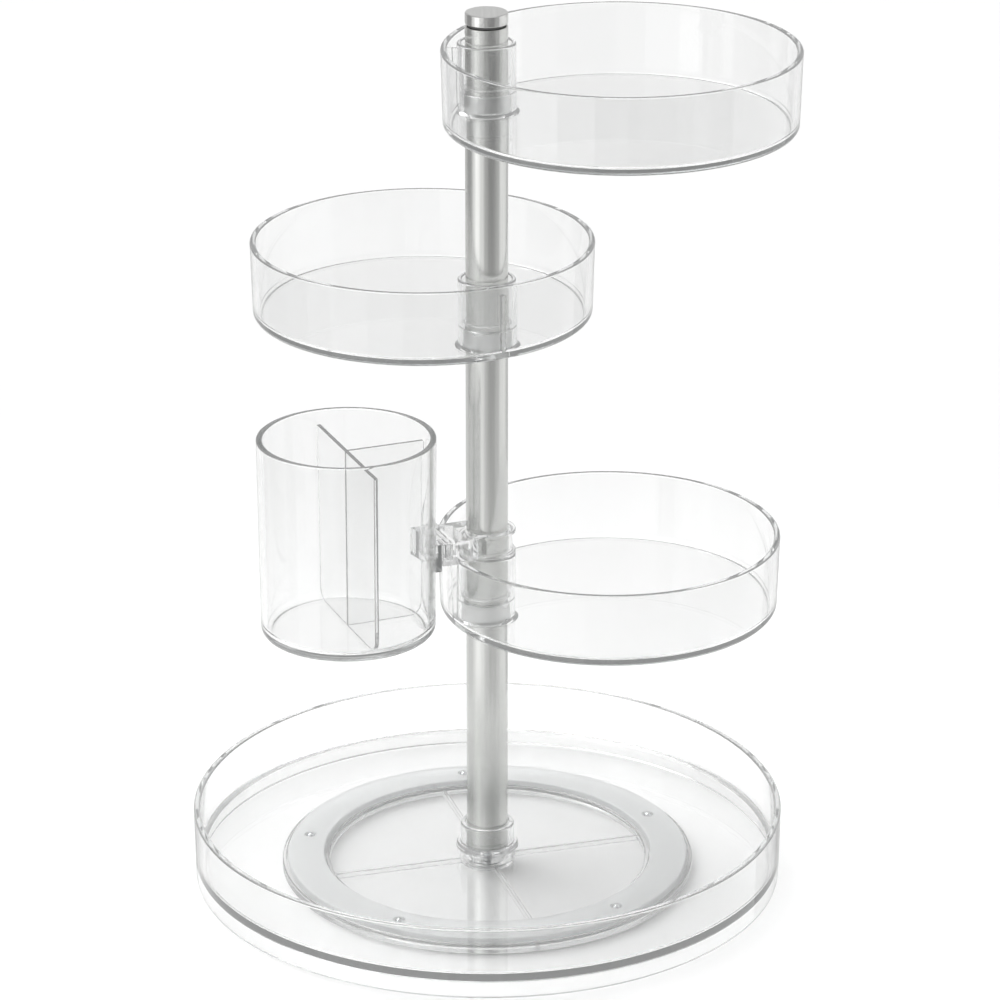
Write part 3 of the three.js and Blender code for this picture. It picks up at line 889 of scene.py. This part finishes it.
def divider_plate(whole):
    """An upright plate along X, across the whole cup or only from its middle to the +X side."""
    foot, top, corner = DIVIDER_FOOT_REACH, DIVIDER_TOP_REACH, DIVIDER_CORNER
    if whole:
        near = [(-top, DIVIDER_TOP, 0.8), (-foot, DIVIDER_BOTTOM, corner)]
    else:
        near = [(0, DIVIDER_TOP), (0, DIVIDER_BOTTOM)]
    outline = [*near, (foot, DIVIDER_BOTTOM, corner), (top, DIVIDER_TOP, 0.8)]
    half = DIVIDER_THICKNESS / 2
    plate = prism(outline, -half, half, 0.3)
    plate.transform(Matrix.Rotation(math.radians(90), 4, "X"))
    return plate


def cup_divider():
    across = moved(divider_plate(True), 90)
    toward_pole = moved(divider_plate(False), 180)
    return moved(join(across, toward_pole), shift=(CUP_OFFSET, 0, 0))


# ---- Assembly ----
def add_foot():
    place(foot_ring(), "foot_ring", "foot", CLEAR_FOOT)
    for i in range(SPOKE_COUNT):
        pad = moved(foot_pad(), shift=polar(BEARING_RADIUS, SPOKE_START + 360 * i / SPOKE_COUNT))
        place(pad, f"foot_pad_{i + 1}", "foot", RUBBER)


def add_bearing():
    place(ball_cage(), "ball_cage", "bearing", FROSTED)
    for i in range(BALL_COUNT):
        at = polar(BEARING_RADIUS, BALL_START + 360 * i / BALL_COUNT, BALL_HEIGHT)
        place(moved(ball(), shift=at), f"bearing_ball_{i + 1}", "bearing", STEEL)


def add_turntable():
    place(base_tray(), "base_tray", "turntable", CLEAR)
    place(pivot_washer(), "pivot_washer", "turntable", STEEL)
    place(pivot_screw(), "pivot_screw", "turntable", STEEL)
    place(pole_tube(), "pole_tube", "turntable", SATIN)
    place(pole_cap(), "pole_cap", "turntable", POLISHED)
    place(bottom_plug(), "pole_bottom_plug", "turntable", DARK_PLASTIC)
    place(top_plug(), "pole_top_plug", "turntable", DARK_PLASTIC)


def add_trays():
    for name, (bottom, turn) in TRAYS.items():
        collar = moved(stop_collar(), shift=(0, 0, bottom))
        place(collar, f"stop_collar_{name}", "turntable", COLLAR)
        dish = moved(tray(), turn, (0, 0, bottom))
        place(dish, f"tray_{name}", f"{name}_tray", CLEAR)


def add_cup():
    place(moved(cup_arm(), ARM_TURN), "cup_arm", "arm", CLEAR)
    place(moved(cup(), ARM_TURN), "cup", "cup_body", CLEAR)
    place(moved(cup_divider(), ARM_TURN), "cup_divider", "divider", CLEAR)


# ---- Studio ----
# Sizes from here on are in metres.
FLOOR_HALF_SIZE = 12.0
# The floor's colour is painted paler round the object than further out: a painted pool of light.
FLOOR_PAINTED_LIGHT_TONE = 0.9
FLOOR_FAR_TONE = 0.76
FLOOR_NEAR = 0.25  # distance from the axis where the painted light round the object starts to fade, and where it ends
FLOOR_FAR = 0.6


def flat_object(name, corners, material):
    """One flat face with a material, as an object in the scene."""
    bm = bmesh.new()
    bm.faces.new([bm.verts.new(corner) for corner in corners])
    mesh = bpy.data.meshes.new(name)
    bm.to_mesh(mesh)
    bm.free()
    mesh.materials.append(material)
    obj = bpy.data.objects.new(name, mesh)
    bpy.context.scene.collection.objects.link(obj)
    return obj


def floor_material():
    material, tree, shader = new_material("floor_paper_painted_light")
    shader.inputs["Roughness"].default_value = 0.9
    shader.inputs["Specular IOR Level"].default_value = 0
    position = tree.nodes.new("ShaderNodeTexCoord")
    distance = tree.nodes.new("ShaderNodeVectorMath")
    distance.operation = "LENGTH"
    tree.links.new(position.outputs["Object"], distance.inputs[0])
    # Painted light: the base colour is paler near the axis and dims further out.
    tones = (FLOOR_PAINTED_LIGHT_TONE, FLOOR_FAR_TONE)
    tone = map_range(tree, distance.outputs["Value"], (FLOOR_NEAR, FLOOR_FAR), tones)
    tree.links.new(tone, shader.inputs["Base Color"])
    return material


def add_floor():
    """A large plain pale floor with a painted pool of light: a little paler round the object than further
    out.
    """
    half = FLOOR_HALF_SIZE
    corners = [(-half, -half, 0), (half, -half, 0), (half, half, 0), (-half, half, 0)]
    floor = flat_object("floor", corners, floor_material())
    floor.visible_glossy = False


WORLD_FRONT_TO_BACK = (0.5, 0.76)
WORLD_OVERHEAD = 0.2  # added straight overhead, as from a large soft box
WORLD_OVERHEAD_EDGE = (0.75, 0.95)  # height in the sky where it starts, and where it is full


def add_world():
    world = bpy.data.worlds.new("studio")
    bpy.context.scene.world = world
    world.use_nodes = True
    tree = world.node_tree
    background = tree.nodes["Background"]
    place_node = tree.nodes.new("ShaderNodeTexCoord")
    split = tree.nodes.new("ShaderNodeSeparateXYZ")
    tree.links.new(place_node.outputs["Generated"], split.inputs["Vector"])
    sides = map_range(tree, split.outputs["Y"], (-1, 1), WORLD_FRONT_TO_BACK)
    overhead = map_range(tree, split.outputs["Z"], WORLD_OVERHEAD_EDGE, (0, WORLD_OVERHEAD))
    total = tree.nodes.new("ShaderNodeMath")
    tree.links.new(sides, total.inputs[0])
    tree.links.new(overhead, total.inputs[1])
    tree.links.new(total.outputs["Value"], background.inputs["Strength"])
    background.inputs["Color"].default_value = (1, 1, 1, 1)


SUN_STRENGTH = 2.5
SUN_SPREAD = math.radians(60)
SUN_FROM = Vector((-0.55, 0.45, 1.0))  # from the object towards the sun


def add_sun():
    data = bpy.data.lights.new("key", "SUN")
    data.energy = SUN_STRENGTH
    data.angle = SUN_SPREAD
    lamp = bpy.data.objects.new("key", data)
    lamp.visible_glossy = False
    lamp.rotation_euler = SUN_FROM.to_track_quat("Z", "Y").to_euler()
    bpy.context.scene.collection.objects.link(lamp)


NO_REFLECTION = 0.5  # a ray's count of reflections is above this once it has had one
CARD_DISTANCE = 1.0
CARD_LOW = -0.9
CARD_HIGH = 1.2
GLOW_LOW = -0.4  # height at which a card has its low strength
GLOW_HIGH = 0.2
CARDS = [  # name, azimuth, spread, strength low down, strength high up
    ("card_back_left", -140, 30, 1.1, 0.65),
    ("card_left", -104, 42, 1.05, 0.34),
    ("card_left_soft", -74, 18, 1.2, 1.0),
    ("card_left_front", -52, 27, 1.5, 1.65),
    ("card_front_soft", -26, 25, 1.35, 1.0),
    ("card_front", -4, 20, 1.0, 0.5),
    ("card_right_front", 26, 40, 0.85, 0.25),
    ("card_right_soft", 59, 26, 0.95, 0.5),
    ("card_right", 98, 52, 1.1, 1.15),
]


def card_material(name, low_strength, high_strength):
    """A glow that changes evenly with height. Only a ray that has been reflected sees it."""
    material = bpy.data.materials.new(name)
    material.use_nodes = True
    tree = material.node_tree
    tree.nodes.remove(tree.nodes["Principled BSDF"])
    place_node = tree.nodes.new("ShaderNodeTexCoord")
    split = tree.nodes.new("ShaderNodeSeparateXYZ")
    tree.links.new(place_node.outputs["Object"], split.inputs["Vector"])
    strength = map_range(tree, split.outputs["Z"], (GLOW_LOW, GLOW_HIGH), (low_strength, high_strength))
    glow = tree.nodes.new("ShaderNodeEmission")
    tree.links.new(strength, glow.inputs["Strength"])
    path = tree.nodes.new("ShaderNodeLightPath")
    clear = tree.nodes.new("ShaderNodeBsdfTransparent")
    reflected = above(tree, path.outputs["Glossy Depth"], NO_REFLECTION)
    surface = mixed(tree, reflected, clear.outputs["BSDF"], glow.outputs["Emission"])
    tree.links.new(surface, tree.nodes["Material Output"].inputs["Surface"])
    return material


def add_card(name, azimuth, spread, low_strength, high_strength):
    """An upright studio card that only reflections see. Azimuth 0 is in front of the object."""
    angle = math.radians(azimuth)
    half_width = CARD_DISTANCE * math.tan(math.radians(spread / 2))
    centre = Vector((math.sin(angle), -math.cos(angle), 0)) * CARD_DISTANCE
    across = Vector((math.cos(angle), math.sin(angle), 0)) * half_width
    low, high = Vector((0, 0, CARD_LOW)), Vector((0, 0, CARD_HIGH))
    left, right = centre - across, centre + across
    corners = [left + low, right + low, right + high, left + high]
    card = flat_object(name, corners, card_material(name, low_strength, high_strength))
    card.visible_camera = False
    card.visible_diffuse = False
    card.visible_shadow = False


SENSOR_WIDTH = 36  # millimetres, as is the lens
LENS = 162.1
CAMERA_PLACE = (0.006324, -2.03754, 0.98744)
CAMERA_TILT = math.radians(68.8)  # up from straight down


def add_camera():
    data = bpy.data.cameras.new("camera")
    data.sensor_width = SENSOR_WIDTH
    data.lens = LENS
    data.clip_start = 0.05
    data.clip_end = 60
    camera = bpy.data.objects.new("camera", data)
    camera.location = CAMERA_PLACE
    camera.rotation_euler = (CAMERA_TILT, 0, 0)
    bpy.context.scene.collection.objects.link(camera)
    bpy.context.scene.camera = camera


def set_look():
    scene = bpy.context.scene
    scene.view_settings.view_transform = "Standard"
    scene.cycles.max_bounces = 64
    scene.cycles.transmission_bounces = 48
    scene.cycles.glossy_bounces = 24
    scene.cycles.transparent_max_bounces = 40


add_foot()
add_bearing()
add_turntable()
add_trays()
add_cup()
add_floor()
add_world()
add_sun()
for card_values in CARDS:
    add_card(*card_values)
add_camera()
set_look()
